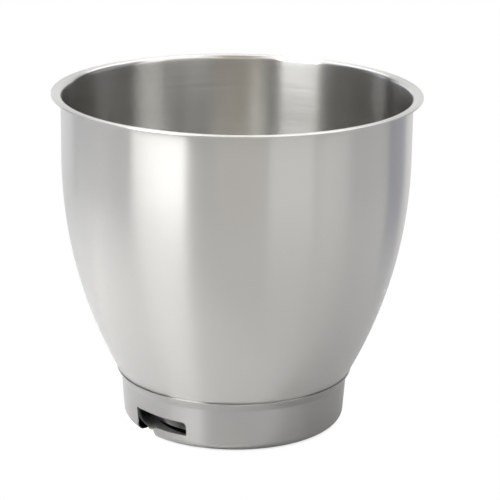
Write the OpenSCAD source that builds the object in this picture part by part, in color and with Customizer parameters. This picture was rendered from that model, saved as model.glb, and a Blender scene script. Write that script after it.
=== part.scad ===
// Stand mixer bowl: a drawn stainless steel bowl with a turned-out rim, standing on a
// pressed foot ring with two L-shaped bayonet slots. Millimetres, +Z up. The origin is on
// the bowl's axis, in the plane that the foot ring stands on.

/* [Rim] */
// Overall height, from the foot to the top of the rim
rim_h = 227.5; // [215:0.5:260]
// Radius of the bend under the rim
rim_bend = 2.2; // [1:0.1:3]
// Width of the flat flange outside that bend
flange_w = 4.4; // [2:0.1:8]

/* [Bowl] */
// Outside diameter of the upright wall
wall_d = 234.8; // [225:0.1:238]
// Thickness of the bowl's sheet
sheet = 0.8; // [0.5:0.1:1.2]
// Radius of the long curve that draws the side in towards the floor
side_r = 312; // [300:1:360]
// Height at which that curve starts
side_z = 184; // [175:1:200]
// Outside radius of the corner between side and floor
floor_corner = 8; // [5:0.5:25]
// Height of the floor's underside
floor_z = 4.5; // [3:0.5:10]

/* [Foot ring] */
// Height of the seam, where the ring's lip ends on the bowl's side
seam_z = 36; // [30:0.5:45]
// Length of the flared lip that is welded to the bowl's side
lip_len = 6; // [2:0.5:8]
// Radius of the bend between lip and skirt
lip_bend = 4; // [2:0.5:8]
// Thickness of the ring's sheet
ring_sheet = 0.9; // [0.6:0.1:1.5]
// Lean of the skirt from upright, in degrees
skirt_lean = 4; // [2:0.5:12]
// Outside radius of the corner where the skirt turns in
foot_corner = 6; // [3:0.5:8]
// Width of the flat that the ring stands on
foot_flat = 3; // [1:0.5:6]
// Clearance between the lip and the bowl's side
seat_gap = 0.05; // [0.02:0.01:0.3]

/* [Bayonet slots] */
// Number of slots
slot_count = 2; // [1:1:4]
// Height of the slots' upper edge
slot_top = 18; // [14:0.1:22]
// Width of a slot from end to end
slot_w = 44.4; // [34:0.2:52]
// Width of the entry that opens through the foot
entry_w = 17.2; // [10:0.2:22]
// Height of the locking channel
channel_h = 9.3; // [6:0.1:11]
// Radius of the channel's end corner and of the tongue's tip
slot_corner = 3; // [1:0.5:4]

/* [Hidden] */
$fn = 256;

// The bowl's outer and inner surfaces share these arc centres
wall_r = wall_d / 2;
rim_bend_z = rim_h - sheet - rim_bend;
rim_edge_c = [wall_r + rim_bend + flange_w - sheet / 2, rim_h - sheet / 2];
side_cx = wall_r - side_r;
corner_cz = floor_z + floor_corner;
corner_cx = side_cx + sqrt((side_r - floor_corner)^2 - (side_z - corner_cz)^2);

// Angle below level at which the side meets the corner, seen from the side's arc centre
corner_angle = asin((side_z - corner_cz) / (side_r - floor_corner));

// The ring's lip follows the side's arc between these two angles
lip_start = asin((side_z - seam_z) / side_r);
lip_end = lip_start + lip_len / side_r * 180 / PI;
lip_r = side_r + seat_gap;
lip_bend_c = [side_cx, side_z] + (lip_r + ring_sheet + lip_bend) * [cos(lip_end), -sin(lip_end)];

// The skirt runs straight from the lip's bend to the foot's corner
skirt_top = lip_bend_c - lip_bend * [cos(skirt_lean), -sin(skirt_lean)];
corner_top = skirt_top - foot_corner * [cos(skirt_lean), -sin(skirt_lean)];
foot_c = [corner_top[0] - (corner_top[1] - foot_corner) * tan(skirt_lean), foot_corner];

// Sagitta of the chords that stand for an arc in an outline
arc_sag = 0.02;

// How far the slot cutters reach past the faces that they cut
cut_clear = 5;

// Points along an arc, at angles measured below level
function arc(c, r, a1, a2) =
    let (
        step = 2 * acos(1 - arc_sag / r),
        n = ceil(abs(a2 - a1) / step)
    )
    [for (i = [0 : n]) let (a = a1 + (a2 - a1) * i / n) c + r * [cos(a), -sin(a)]];

function reverse(list) = [for (i = [len(list) - 1 : -1 : 0]) list[i]];

// The bowl's surface at a depth t into its sheet, from the flange down to the middle of
// the floor: a bend, the upright wall, the long side curve, the corner and the floor
function shell_path(t) = concat(
    arc([wall_r + rim_bend, rim_bend_z], rim_bend + t, 270, 180),
    arc([side_cx, side_z], side_r - t, 0, corner_angle),
    arc([corner_cx, corner_cz], floor_corner - t, corner_angle, 90),
    [[0, floor_z + t]]
);

// The ring's surface at a depth t into its sheet: the lip that lies on the bowl's side, a
// bend, the straight skirt, the foot's corner and the flat that the ring stands on
function ring_path(t) = concat(
    arc([side_cx, side_z], lip_r + ring_sheet - t, lip_start, lip_end),
    arc(lip_bend_c, lip_bend + t, 180 + lip_end, 180 + skirt_lean),
    arc(foot_c, foot_corner - t, skirt_lean, 90),
    [[foot_c[0] - foot_flat, t]]
);

// One bayonet slot as seen from outside: an entry at the left that is open through the
// foot, and a closed locking channel to its right, above a tongue with a rounded tip
module slot_outline() {
    left = -slot_w / 2;
    right = slot_w / 2;
    tip_x = left + entry_w;
    channel_z = slot_top - channel_h;
    polygon(concat(
        [[left, -cut_clear], [tip_x, -cut_clear]],
        arc([tip_x + slot_corner, channel_z - slot_corner], slot_corner, 180, 270),
        [[right, channel_z]],
        arc([right - slot_corner, slot_top - slot_corner], slot_corner, 0, -90),
        [[left, slot_top]]
    ));
}

// The punch for one slot, driven in from the front
module slot_cutter() {
    front = skirt_top[0] + cut_clear;
    back = sqrt((foot_c[0] - foot_flat)^2 - (slot_w / 2)^2) - cut_clear;
    translate([0, -back, 0])
        rotate([90, 0, 0])
            linear_extrude(height = front - back)
                slot_outline();
}

module bowl() {
    edge = arc(rim_edge_c, sheet / 2, 90, -90);
    color("Gainsboro")
        rotate_extrude()
            polygon(concat(reverse(shell_path(0)), edge, shell_path(sheet)));
}

module foot_ring() {
    color("Silver")
        difference() {
            rotate_extrude()
                polygon(concat(ring_path(0), reverse(ring_path(ring_sheet))));
            for (i = [0 : slot_count - 1])
                rotate([0, 0, i * 360 / slot_count]) slot_cutter();
        }
}

bowl();
foot_ring();
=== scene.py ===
"""Looks of a stand mixer bowl: a drawn and finely brushed stainless steel bowl on a pressed
foot ring with two bayonet slots. Everything is in metres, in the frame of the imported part:
+Z is up along the bowl's axis, and -Y looks out through the middle of one slot."""

import math

import bmesh
import bpy
from mathutils import Matrix, Vector


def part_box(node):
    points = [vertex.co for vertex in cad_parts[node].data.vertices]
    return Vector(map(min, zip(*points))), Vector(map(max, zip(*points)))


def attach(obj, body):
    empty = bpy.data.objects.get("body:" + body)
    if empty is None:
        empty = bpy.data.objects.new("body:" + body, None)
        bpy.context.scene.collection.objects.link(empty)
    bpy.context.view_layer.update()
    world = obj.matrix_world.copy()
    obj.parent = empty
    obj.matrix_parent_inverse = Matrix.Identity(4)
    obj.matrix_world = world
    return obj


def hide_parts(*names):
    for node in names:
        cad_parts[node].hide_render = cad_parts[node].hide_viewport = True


MM = 0.001

# The bowl's sheet, as in the part's source
RIM_BEND = 2.2 * MM
WALL_R = 117.4 * MM
SHEET = 0.8 * MM
SIDE_R = 312 * MM
SIDE_Z = 184 * MM
SIDE_CENTRE = Vector((WALL_R - SIDE_R, 0, SIDE_Z))
FLOOR_CORNER = 8 * MM
RIM_EDGE_ROUND = 0.3 * MM
RIM_EDGE_STEPS = 3

# The foot ring's sheet. The skirt's lean is in degrees from upright
SEAM_Z = 36 * MM
LIP_LEN = 6 * MM
LIP_BEND = 4 * MM
RING_SHEET = 0.9 * MM
SKIRT_LEAN = 4
FOOT_CORNER = 6 * MM
FOOT_FLAT = 3 * MM
SEAT_GAP = 0.05 * MM
RING_EDGE_ROUND = 0.2 * MM
RING_EDGE_STEPS = 2

# The bayonet slots
SLOT_COUNT = 2
SLOT_TOP = 18 * MM
SLOT_W = 44.4 * MM
ENTRY_W = 17.2 * MM
CHANNEL_H = 9.3 * MM
SLOT_CORNER = 3 * MM
SLOT_CORNER_STEPS = 8

# How finely the sheet is divided: steps round the axis, and the longest step along an arc, as
# a length and as an angle
TURN_STEPS = 256
ARC_STEP = 2.5 * MM
BEND_STEP_DEG = 9

# Points closer than this are one point. Edges that bend by more than these are the square ones
# where the sheet was cut, and those that are shaded sharp
SAME_POINT = 0.001 * MM
SQUARE_EDGE_DEG = 60
SHARP_EDGE_DEG = 35

# The camera that was fitted to the photograph, whose frame is 500 pixels square
PHOTO_PX = 500
FOCAL_PX = 2092
AIM_LEFT_PX = 14.65
CAMERA_DISTANCE = 1.426
CAMERA_AZIMUTH = 41.1
CAMERA_ELEVATION = 17.19
CAMERA_ROLL = 0.69
AIM_HEIGHT = 117.2 * MM
SENSOR_MM = 36

# The steel's brush lines. Real ones are under a tenth of a millimetre apart, too fine to show,
# so these are drawn about a millimetre apart. They waver over the wave's length
LINE_SPACING = 10 / 9 * MM
LINE_WAVE = 200 * MM
LINE_DEPTH = 0.005 * MM
LINE_ROUGHNESS_OUTSIDE = 0.008
LINE_ROUGHNESS_INSIDE = 0.08

# The two sides of the sheet, as the steel's material tells them apart
SIDE_OUT = 1.0
SIDE_IN = 0.0

# Below this height the faces between bowl and ring are painted a dark grey: painted shade for the ring's
# hollow, seen through the slots
PAINTED_SHADE_BELOW = 34 * MM
PAINTED_SHADE_COLOUR = "6A6967"

# The white paper. Under the bowl, up to PAPER_DARK_R from the axis, it is painted dark grey, a
# painted shade which keeps the slots dark
PAPER_HALF_WIDTH = 4
PAPER_COLOUR = "F4F4F4"
PAPER_DARK_COLOUR = "303030"
PAPER_DARK_R = 55 * MM

# The camera sees shaded paper up to the first distance from the axis, and pure white from the
# second on. The steel mirrors no glow up to the first, and all of PAPER_GLOW from the second on
PAPER_SHADE = (64 * MM, 76 * MM)
PAPER_GLOW_REACH = (150 * MM, 700 * MM)
PAPER_GLOW = 0.5

# The soft light from all round: from level and below, and from overhead
SOFT_LIGHT = (0.15, 1.1)

# The studio: how far off its drapes hang, how high its ceiling is, and a height just below the
# paper. An upright panel is a run of flat strips, each up to PANEL_STEP_DEG wide
ROOM_R = 3.0
ROOM_H = 3.5
UNDER_PAPER = -0.01
PANEL_STEP_DEG = 5

# Lamps for the paper that the lower wall and the ring mirror, at the left, at the right and
# seen through the slot: name, place and aim as (azimuth, distance, height), size, spread in
# degrees, and watts. Azimuths are counted from the camera's, to the right
LAMPS = [
    ("key_lamp", (-85, 1.1, 0.9), (-96, 0.3, 0), 0.3, 24, 1.9),
    ("fill_lamp", (100, 1.2, 1.0), (100, 0.1, 0), 0.8, 180, 0.8),
    ("slot_lamp", (-16, 0.42, 0.5), (-62, 0.072, 0), 0.04, 6, 0.05),
]

# Upright panels: name, the two ends as (azimuth, distance), heights, colour and strength
PANELS = [
    # Drapes in front, which the middle of the wall mirrors
    ("front_drape_low", (-14, ROOM_R), (20, ROOM_R), (UNDER_PAPER, 0.7), "FFF5E6", 0.2),
    ("front_drape_high", (-14, ROOM_R), (20, ROOM_R), (0.7, 2.4), "FFF2E0", 1.0),
    ("front_gap", (-31, ROOM_R), (-14, ROOM_R), (UNDER_PAPER, ROOM_H), "FFF5E6", 0.3),
    # The right half of the wall, and a strip that shows inside the bowl
    ("right_drape_high", (20, ROOM_R), (120, ROOM_R), (0.6, ROOM_H), "FFFFFF", 0.4),
    ("right_drape_low", (75, ROOM_R), (120, ROOM_R), (UNDER_PAPER, 0.6), "EEF4FF", 0.2),
    ("right_gap", (120, ROOM_R), (141, ROOM_R), (UNDER_PAPER, ROOM_H), "EEF4FF", 0.08),
    ("right_fill", (20, 1.8), (48, 1.8), (0.03, 0.7), "FFFFFF", 1.3),
    ("right_fill_end", (48, 1.8), (75, 1.8), (0.03, 0.7), "FFFFFF", 0.6),
    ("right_strip", (55, 2.0), (76, 2.0), (0.7, 3.0), "FFFFFF", 1.6),
    # The left half of the wall, and a strip that shows inside the bowl
    ("left_drape_high", (-140, ROOM_R), (-31, ROOM_R), (0.6, ROOM_H), "EEF4FF", 0.11),
    ("left_strip", (-122, 2.8), (-112, 2.8), (0.6, ROOM_H), "EEF4FF", 0.9),
    ("left_drape_low", (-108, ROOM_R), (-69, ROOM_R), (UNDER_PAPER, 0.6), "EEF4FF", 0.4),
    ("left_gap", (-125, ROOM_R), (-108, ROOM_R), (UNDER_PAPER, 0.6), "E0EAFF", 0.6),
    ("left_edge", (-165, 2.8), (-128, 2.8), (UNDER_PAPER, 0.8), "F2F6FF", 1.6),
    # A flag close to the bowl, for the wall's right edge
    ("right_flag", (102, 0.4), (126, 0.4), (0, 0.8), "F2F4FF", 0.55),
    # The window at the left, which is the bright band on the wall and the one inside
    ("left_window_foot", (-63, 0.535), (-31, 1.55), (0.02, 0.3), "FFFFFF", 1.0),
    ("left_window_low", (-63, 0.535), (-31, 1.55), (0.3, 0.5), "FFFFFF", 4.8),
    ("left_window_middle", (-68, 0.535), (-31, 1.55), (0.5, 0.8), "FFFFFF", 5.4),
    ("left_window_high", (-76, 0.535), (-31, 1.55), (0.8, 1.8), "FFFFFF", 5.8),
    # A high window behind the bowl, for its rim
    ("back_window", (150, 2.5), (210, 2.5), (1.9, ROOM_H), "FFFFFF", 3.5),
]

# Level panels overhead: name, left and right, near and far, height, colour and strength
CEILINGS = [
    ("ceiling_middle", (-0.6, 0.6), (-3.0, 0.8), ROOM_H, "FFF6E8", 0.6),
    ("ceiling_left", (-3.0, -0.6), (-3.0, 0.8), ROOM_H, "FFFFFF", 2.2),
    ("ceiling_right", (0.6, 3.0), (-3.0, 0.8), ROOM_H, "FFFFFF", 2.2),
]


def polar(centre, radius, degrees):
    """A point of the profile, from an arc's centre, at an angle above level."""
    angle = math.radians(degrees)
    return Vector((centre.x + radius * math.cos(angle), 0, centre.z + radius * math.sin(angle)))


class Profile:
    """A pen that draws the outside of a sheet as a chain of edges in the XZ plane."""

    def __init__(self, start):
        self.bm = bmesh.new()
        self.tip = self.bm.verts.new(start)

    def line(self, end):
        """Draws a straight run to a point."""
        run = Vector(end) - self.tip.co
        count = max(1, math.ceil(run.length / ARC_STEP))
        for _ in range(count):
            grown = bmesh.ops.extrude_vert_indiv(self.bm, verts=[self.tip])
            self.tip = grown["verts"][0]
            self.tip.co += run / count

    def arc(self, centre, degrees):
        """Draws an arc round a centre, counter-clockwise as seen from the front."""
        radius = (self.tip.co - centre).length
        along = math.ceil(abs(math.radians(degrees)) * radius / ARC_STEP)
        turned = bmesh.ops.spin(
            self.bm,
            geom=[self.tip],
            cent=centre,
            axis=(0, -1, 0),
            angle=math.radians(degrees),
            steps=max(along, math.ceil(abs(degrees) / BEND_STEP_DEG)),
        )
        self.tip = turned["geom_last"][0]

    def revolve(self):
        """Turns the profile round the Z axis into an open skin that faces outwards."""
        bmesh.ops.spin(
            self.bm,
            geom=self.bm.verts[:] + self.bm.edges[:],
            cent=(0, 0, 0),
            axis=(0, 0, 1),
            angle=math.tau,
            steps=TURN_STEPS,
            use_merge=True,
        )
        bmesh.ops.remove_doubles(self.bm, verts=self.bm.verts, dist=SAME_POINT)
        bmesh.ops.recalc_face_normals(self.bm, faces=self.bm.faces)
        self.bm.normal_update()
        lowest = min(self.bm.faces, key=lambda f: f.calc_center_median().z)
        if lowest.normal.z > 0:
            bmesh.ops.reverse_faces(self.bm, faces=self.bm.faces)
        return self.bm


def thicken(bm, thickness):
    """Gives an open skin its wall, on the side away from its normals."""
    bmesh.ops.solidify(bm, geom=bm.faces[:] + bm.edges[:] + bm.verts[:], thickness=thickness)


def round_edges(bm, edges, radius, steps):
    """Rounds edges to a radius, each in so many steps."""
    bmesh.ops.bevel(
        bm,
        geom=edges,
        offset=radius,
        offset_type="OFFSET",
        segments=steps,
        profile=0.5,
        affect="EDGES",
        clamp_overlap=True,
        material=-1,
    )


def square_edges(bm):
    """The edges where the sheet was cut."""
    bend = math.radians(SQUARE_EDGE_DEG)
    return [e for e in bm.edges if e.is_manifold and e.calc_face_angle() > bend]


def new_object(name, bm):
    """Makes an object of a bmesh, which is used up."""
    mesh = bpy.data.meshes.new(name)
    bm.to_mesh(mesh)
    bm.free()
    thing = bpy.data.objects.new(name, mesh)
    bpy.context.scene.collection.objects.link(thing)
    return thing


def add_piece(name, bm, node, material):
    """Makes a finished piece of a bmesh, in the place of a CAD node."""
    piece = new_object(name, bm)
    piece.data.shade_smooth()
    piece.data.set_sharp_from_angle(angle=math.radians(SHARP_EDGE_DEG))
    piece.data.materials.append(material)
    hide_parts(node)
    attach(piece, "root")


def make_bowl(material):
    """The drawn bowl, from the middle of its floor to the rounded sheet edge of its rim."""
    low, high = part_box("bowl")
    reach = SIDE_R - FLOOR_CORNER
    turn = math.degrees(math.asin((SIDE_Z - low.z - FLOOR_CORNER) / reach))
    corner = polar(SIDE_CENTRE, reach, -turn)
    bend = Vector((WALL_R + RIM_BEND, 0, high.z - SHEET - RIM_BEND))
    pen = Profile((0, 0, low.z))
    pen.line((corner.x, 0, low.z))
    pen.arc(corner, 90 - turn)
    pen.arc(SIDE_CENTRE, turn)
    pen.line((WALL_R, 0, bend.z))
    pen.arc(bend, -90)
    pen.line((high.x, 0, high.z - SHEET))
    bm = pen.revolve()
    thicken(bm, SHEET)
    round_edges(bm, square_edges(bm), RIM_EDGE_ROUND, RIM_EDGE_STEPS)
    add_piece("bowl_shell", bm, "bowl", material)


def runs_through(edge, point):
    """Tells whether an edge runs front to back through a point of the front view."""
    return all(math.dist((v.co.x, v.co.z), point) < SAME_POINT for v in edge.verts)


def slot_punch():
    """The punch that cuts one slot: an L in the front view, with its two round corners. It
    starts outside the skirt and ends in the ring's hollow."""
    left = -SLOT_W / 2
    right = SLOT_W / 2
    tip = left + ENTRY_W
    sill = SLOT_TOP - CHANNEL_H
    below = -SLOT_TOP
    front = -WALL_R
    back = -SLOT_W
    outline = [(left, below), (tip, below), (tip, sill), (right, sill), (right, SLOT_TOP), (left, SLOT_TOP)]
    round_corners = [(tip, sill), (right, SLOT_TOP)]
    bm = bmesh.new()
    face = bm.faces.new([bm.verts.new((x, front, z)) for x, z in outline])
    grown = bmesh.ops.extrude_face_region(bm, geom=[face])
    moved = [v for v in grown["geom"] if isinstance(v, bmesh.types.BMVert)]
    bmesh.ops.translate(bm, verts=moved, vec=(0, back - front, 0))
    bmesh.ops.recalc_face_normals(bm, faces=bm.faces)
    edges = [e for e in bm.edges if any(runs_through(e, corner) for corner in round_corners)]
    round_edges(bm, edges, SLOT_CORNER, SLOT_CORNER_STEPS)
    return bm


def cut_slots(bm):
    """Punches the slots through the ring, and returns the cut ring."""
    ring = new_object("ring_uncut", bm)
    punches = []
    for i in range(SLOT_COUNT):
        punch_bm = slot_punch()
        turn = Matrix.Rotation(math.tau * i / SLOT_COUNT, 3, "Z")
        bmesh.ops.rotate(punch_bm, verts=punch_bm.verts, matrix=turn)
        punch = new_object("punch", punch_bm)
        cut = ring.modifiers.new("slot", "BOOLEAN")
        cut.operation = "DIFFERENCE"
        cut.solver = "EXACT"
        cut.object = punch
        punches.append(punch)
    depsgraph = bpy.context.evaluated_depsgraph_get()
    result = bmesh.new()
    result.from_mesh(ring.evaluated_get(depsgraph).to_mesh())
    for thing in punches + [ring]:
        bpy.data.objects.remove(thing)
    return result


def make_ring(material):
    """The pressed foot ring: a flared lip on the bowl's side, a bend, the skirt and the foot."""
    lip_turn = math.degrees(LIP_LEN / SIDE_R)
    lip_end = math.degrees(math.asin((SIDE_Z - SEAM_Z) / SIDE_R)) + lip_turn
    lip_r = SIDE_R + SEAT_GAP + RING_SHEET
    bend = polar(SIDE_CENTRE, lip_r + LIP_BEND, -lip_end)
    skirt_top = polar(bend, LIP_BEND, 180 - SKIRT_LEAN)
    lean = math.radians(SKIRT_LEAN)
    drop = skirt_top.z - FOOT_CORNER + FOOT_CORNER * math.sin(lean)
    foot_top = skirt_top - Vector((drop * math.tan(lean), 0, drop))
    corner = polar(foot_top, FOOT_CORNER, 180 - SKIRT_LEAN)
    pen = Profile((corner.x - FOOT_FLAT, 0, 0))
    pen.line((corner.x, 0, 0))
    pen.arc(corner, 90 - SKIRT_LEAN)
    pen.line(skirt_top)
    pen.arc(bend, SKIRT_LEAN - lip_end)
    pen.arc(SIDE_CENTRE, lip_turn)
    bm = pen.revolve()
    thicken(bm, RING_SHEET)
    round_edges(bm, square_edges(bm), RING_EDGE_ROUND, RING_EDGE_STEPS)
    add_piece("foot_ring_shell", cut_slots(bm), "foot_ring", material)


def linear(code):
    """An sRGB hex colour as the linear RGBA that the shaders take."""
    parts = [int(code[i : i + 2], 16) / 255 for i in (0, 2, 4)]
    return [c / 12.92 if c <= 0.04045 else ((c + 0.055) / 1.055) ** 2.4 for c in parts] + [1]


def add_node(tree, kind, settings, inputs):
    """Adds a shader node. settings are its properties. inputs go by a socket's name or number,
    and are values or other nodes' outputs."""
    node = tree.nodes.new("ShaderNode" + kind)
    for key, value in settings.items():
        setattr(node, key, value)
    for key, value in inputs.items():
        if isinstance(value, bpy.types.NodeSocket):
            tree.links.new(value, node.inputs[key])
        else:
            node.inputs[key].default_value = value
    return node


def new_material(name):
    """An empty material and its node tree, with the output node."""
    material = bpy.data.materials.new(name)
    material.use_nodes = True
    material.node_tree.nodes.clear()
    output = add_node(material.node_tree, "OutputMaterial", {}, {})
    return material, material.node_tree, output


def side_of_sheet(tree, place, level):
    """SIDE_OUT on faces that look away from the axis, and SIDE_IN on those that look towards
    it. A level face, such as the bowl's floor, is undecided."""
    sides = {0: place.outputs["Normal"], 1: level.outputs[0]}
    facing = add_node(tree, "VectorMath", {"operation": "DOT_PRODUCT"}, sides)
    outside = add_node(tree, "Math", {"operation": "GREATER_THAN"}, {0: facing.outputs["Value"], 1: 0.0})
    return outside.outputs[0]


def brush_lines(tree, parts, level):
    """Noise that is drawn out round the axis into lines, on the wall and on the floor alike."""
    radius = add_node(tree, "VectorMath", {"operation": "LENGTH"}, {0: level.outputs[0]})
    run = add_node(tree, "Math", {"operation": "ADD"}, {0: radius.outputs["Value"], 1: parts.outputs["Z"]})
    along = {0: parts.outputs["X"], 1: parts.outputs["Y"], 2: run.outputs[0]}
    unrolled = add_node(tree, "CombineXYZ", {}, along)
    fineness = (1 / LINE_WAVE, 1 / LINE_WAVE, 1 / LINE_SPACING)
    stretched = add_node(tree, "VectorMath", {"operation": "MULTIPLY"}, {0: unrolled.outputs[0], 1: fineness})
    noise = add_node(tree, "TexNoise", {}, {0: stretched.outputs[0], "Scale": 1.0, "Detail": 3.0})
    return noise.outputs["Fac"]


def brushed_steel(name, colour, roughness_outside, roughness_inside, painted_shade_side):
    """Stainless steel, brushed round the axis: highlights run up and down the wall."""
    material, tree, output = new_material(name)
    place = add_node(tree, "TexCoord", {}, {})
    parts = add_node(tree, "SeparateXYZ", {}, {0: place.outputs["Object"]})
    times = {"operation": "MULTIPLY"}
    level = add_node(tree, "VectorMath", times, {0: place.outputs["Object"], 1: (1, 1, 0)})
    side = side_of_sheet(tree, place, level)
    lines = brush_lines(tree, parts, level)

    play_range = {"Value": side, "To Min": LINE_ROUGHNESS_INSIDE, "To Max": LINE_ROUGHNESS_OUTSIDE}
    play = add_node(tree, "MapRange", {}, play_range)
    scratches = add_node(tree, "Math", times, {0: lines, 1: play.outputs[0]})
    smooth_range = {"Value": side, "To Min": roughness_inside, "To Max": roughness_outside}
    smooth = add_node(tree, "MapRange", {}, smooth_range)
    roughness = add_node(tree, "Math", {"operation": "ADD"}, {0: smooth.outputs[0], 1: scratches.outputs[0]})
    bump = add_node(tree, "Bump", {}, {"Strength": 1.0, "Distance": LINE_DEPTH, "Height": lines})

    # Painted shade: low down, the side of the sheet that faces into the ring's hollow takes the dark grey
    low = add_node(tree, "Math", {"operation": "LESS_THAN"}, {0: parts.outputs["Z"], 1: PAINTED_SHADE_BELOW})
    hidden = add_node(tree, "Math", {"operation": "COMPARE"}, {0: side, 1: painted_shade_side, 2: 0.5})
    painted_shade = add_node(tree, "Math", times, {0: low.outputs[0], 1: hidden.outputs[0]})
    tones = {0: painted_shade.outputs[0], 6: linear(colour), 7: linear(PAINTED_SHADE_COLOUR)}
    tone = add_node(tree, "Mix", {"data_type": "RGBA"}, tones)

    # The tangent runs with the lines, and the quarter turn stretches highlights across them
    tangent = add_node(tree, "Tangent", {"direction_type": "RADIAL", "axis": "Z"}, {})
    finish = {
        "Base Color": tone.outputs[2],
        "Metallic": 1.0,
        "Roughness": roughness.outputs[0],
        "Anisotropic": 1.0,
        "Anisotropic Rotation": 0.25,
        "Tangent": tangent.outputs[0],
        "Normal": bump.outputs[0],
    }
    steel = add_node(tree, "BsdfPrincipled", {}, finish)
    tree.links.new(steel.outputs[0], output.inputs[0])
    return material


def add_camera():
    """The photograph's camera, seen from the part's frame."""
    data = bpy.data.cameras.new("camera")
    data.sensor_width = SENSOR_MM
    data.lens = FOCAL_PX / PHOTO_PX * SENSOR_MM
    camera = bpy.data.objects.new("camera", data)
    pan = math.atan(-AIM_LEFT_PX / FOCAL_PX)
    turn = Matrix.Rotation(math.radians(CAMERA_AZIMUTH), 4, "Z")
    tilt = Matrix.Rotation(math.radians(90 - CAMERA_ELEVATION), 4, "X")
    aim = Matrix.Translation((0, 0, AIM_HEIGHT))
    back = Matrix.Translation((0, 0, CAMERA_DISTANCE))
    swing = Matrix.Rotation(pan, 4, "Y") @ Matrix.Rotation(math.radians(CAMERA_ROLL), 4, "Z")
    camera.matrix_world = aim @ turn @ tilt @ back @ swing
    bpy.context.scene.collection.objects.link(camera)
    bpy.context.scene.camera = camera


def studio_point(azimuth, distance, height):
    """A place in the studio. The azimuth is counted from the camera's, to the right."""
    turn = math.radians(CAMERA_AZIMUTH + azimuth)
    return Vector((distance * math.sin(turn), -distance * math.cos(turn), height))


def add_stage(name, bm, material):
    """Makes a part of the studio of a bmesh."""
    thing = new_object(name, bm)
    thing.data.materials.append(material)
    return thing


def mirrored_rays(tree, path):
    """1 for what is seen in the steel or through glass."""
    rays = {0: path.outputs["Is Glossy Ray"], 1: path.outputs["Is Transmission Ray"]}
    return add_node(tree, "Math", {"operation": "MAXIMUM"}, rays).outputs[0]


def add_floor():
    """White paper. The camera sees it pure white, but for the shadow close round the foot."""
    material, tree, output = new_material("floor_paper")
    path = add_node(tree, "LightPath", {}, {})
    place = add_node(tree, "TexCoord", {}, {})
    length = add_node(tree, "VectorMath", {"operation": "LENGTH"}, {0: place.outputs["Object"]})
    radius = length.outputs["Value"]
    # Painted shade: the paper under the bowl, up to PAPER_DARK_R from the axis, is dark grey
    lit = add_node(tree, "Math", {"operation": "GREATER_THAN"}, {0: radius, 1: PAPER_DARK_R})
    shades = {0: lit.outputs[0], 6: linear(PAPER_DARK_COLOUR), 7: linear(PAPER_COLOUR)}
    shade = add_node(tree, "Mix", {"data_type": "RGBA"}, shades)
    paper = add_node(tree, "BsdfDiffuse", {}, {"Color": shade.outputs[2]})
    white = add_node(tree, "Emission", {}, {"Color": linear("FFFFFF"), "Strength": 1.0})

    times = {"operation": "MULTIPLY"}
    smoothly = {"interpolation_type": "SMOOTHSTEP"}
    near, far = PAPER_SHADE
    open_air = add_node(tree, "MapRange", smoothly, {"Value": radius, "From Min": near, "From Max": far})
    seen = add_node(tree, "Math", times, {0: path.outputs["Is Camera Ray"], 1: open_air.outputs[0]})
    near, far = PAPER_GLOW_REACH
    reach = {"Value": radius, "From Min": near, "From Max": far, "To Max": PAPER_GLOW}
    distant = add_node(tree, "MapRange", smoothly, reach)
    mirrored = add_node(tree, "Math", times, {0: mirrored_rays(tree, path), 1: distant.outputs[0]})
    glow = add_node(tree, "Math", {"operation": "ADD"}, {0: seen.outputs[0], 1: mirrored.outputs[0]})
    mix = add_node(tree, "MixShader", {}, {0: glow.outputs[0], 1: paper.outputs[0], 2: white.outputs[0]})
    tree.links.new(mix.outputs[0], output.inputs[0])

    bm = bmesh.new()
    bmesh.ops.create_grid(bm, x_segments=1, y_segments=1, size=PAPER_HALF_WIDTH)
    add_stage("floor", bm, material)


def add_world():
    """The studio round the bowl: white to the camera and in the steel, soft as a light."""
    world = bpy.data.worlds.new("studio")
    bpy.context.scene.world = world
    world.use_nodes = True
    tree = world.node_tree
    tree.nodes.clear()
    path = add_node(tree, "LightPath", {}, {})
    rays = {0: path.outputs["Is Camera Ray"], 1: mirrored_rays(tree, path)}
    seen = add_node(tree, "Math", {"operation": "MAXIMUM"}, rays)
    place = add_node(tree, "TexCoord", {}, {})
    parts = add_node(tree, "SeparateXYZ", {}, {0: place.outputs["Generated"]})
    low, high = SOFT_LIGHT
    overhead = add_node(tree, "MapRange", {}, {"Value": parts.outputs["Z"], "To Min": low, "To Max": high})
    soft = add_node(tree, "Background", {}, {"Color": linear("FFFFFF"), "Strength": overhead.outputs[0]})
    white = add_node(tree, "Background", {}, {"Color": linear("FFFFFF"), "Strength": 1.0})
    mix = add_node(tree, "MixShader", {}, {0: seen.outputs[0], 1: soft.outputs[0], 2: white.outputs[0]})
    add_node(tree, "OutputWorld", {}, {0: mix.outputs[0]})


def add_lamp(name, place, aim, size, spread, power):
    """A soft lamp that lights the paper and leaves the reflections to the panels."""
    data = bpy.data.lights.new(name, "AREA")
    data.shape = "DISK"
    data.size = size
    data.spread = math.radians(spread)
    data.energy = power
    lamp = bpy.data.objects.new(name, data)
    lamp.location = studio_point(*place)
    beam = studio_point(*aim) - lamp.location
    lamp.rotation_euler = beam.to_track_quat("-Z", "Y").to_euler()
    lamp.visible_camera = False
    lamp.visible_glossy = False
    bpy.context.scene.collection.objects.link(lamp)


def add_glow(name, bm, code, strength):
    """Makes a glowing panel of a bmesh, which only shows in the steel."""
    material, tree, output = new_material(name)
    glow = add_node(tree, "Emission", {}, {"Color": linear(code), "Strength": strength})
    tree.links.new(glow.outputs[0], output.inputs[0])
    panel = add_stage(name, bm, material)
    panel.visible_camera = False
    panel.visible_diffuse = False
    panel.visible_shadow = False


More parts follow.
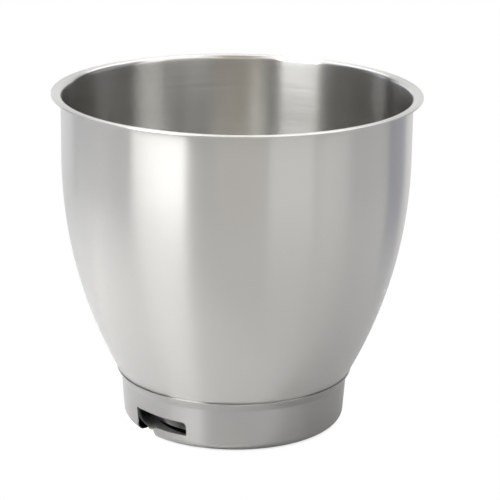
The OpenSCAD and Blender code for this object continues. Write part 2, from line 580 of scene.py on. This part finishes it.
def add_panel(name, start, end, heights, code, strength):
    """An upright panel of the studio. Its ends are (azimuth, distance)."""
    low, high = heights
    steps = max(1, math.ceil(abs(end[0] - start[0]) / PANEL_STEP_DEG))
    bm = bmesh.new()
    foot = bm.verts.new(studio_point(*start, low))
    edges = []
    for i in range(1, steps + 1):
        share = i / steps
        azimuth, distance = [a + (b - a) * share for a, b in zip(start, end)]
        grown = bmesh.ops.extrude_vert_indiv(bm, verts=[foot])
        foot = grown["verts"][0]
        foot.co = studio_point(azimuth, distance, low)
        edges += grown["edges"]
    raised = bmesh.ops.extrude_edge_only(bm, edges=edges)
    tops = [v for v in raised["geom"] if isinstance(v, bmesh.types.BMVert)]
    bmesh.ops.translate(bm, verts=tops, vec=(0, 0, high - low))
    add_glow(name, bm, code, strength)


def add_ceiling(name, across, along, height, code, strength):
    """A level panel of the studio, over the bowl and square to the camera."""
    bm = bmesh.new()
    bmesh.ops.create_grid(bm, x_segments=1, y_segments=1, size=0.5)
    size = Vector((across[1] - across[0], along[1] - along[0], 1))
    bmesh.ops.scale(bm, verts=bm.verts, vec=size)
    bmesh.ops.translate(bm, verts=bm.verts, vec=(sum(across) / 2, sum(along) / 2, height))
    turn = Matrix.Rotation(math.radians(CAMERA_AZIMUTH), 3, "Z")
    bmesh.ops.rotate(bm, verts=bm.verts, matrix=turn)
    add_glow(name, bm, code, strength)


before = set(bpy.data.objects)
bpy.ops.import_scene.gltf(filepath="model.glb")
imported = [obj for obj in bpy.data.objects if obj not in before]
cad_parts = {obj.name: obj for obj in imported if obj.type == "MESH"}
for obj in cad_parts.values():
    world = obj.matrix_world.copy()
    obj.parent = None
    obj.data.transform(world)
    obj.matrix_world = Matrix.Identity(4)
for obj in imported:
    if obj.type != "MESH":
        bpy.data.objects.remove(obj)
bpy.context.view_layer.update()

# Drawn stainless steel with a satin finish, brushed round the axis, which draws each bright
# thing out into a band up the wall. The inside is smoother, and shows its lines more
bowl_steel = brushed_steel(
    "brushed_stainless_steel", "C8C7C4", roughness_outside=0.28, roughness_inside=0.21, painted_shade_side=SIDE_OUT
)

# Pressed stainless steel, finished like the bowl and as smooth on both sides. Its colour is a
# painted shade greyer than the bowl's, for the shaded paper that the ring mirrors near its foot
ring_steel = brushed_steel(
    "pressed_stainless_steel", "ABAAA8", roughness_outside=0.285, roughness_inside=0.285, painted_shade_side=SIDE_IN
)

make_bowl(bowl_steel)
make_ring(ring_steel)

add_camera()
add_floor()
add_world()
for lamp in LAMPS:
    add_lamp(*lamp)
for panel in PANELS:
    add_panel(*panel)
for ceiling in CEILINGS:
    add_ceiling(*ceiling)

bpy.context.scene.view_settings.view_transform = "Standard"
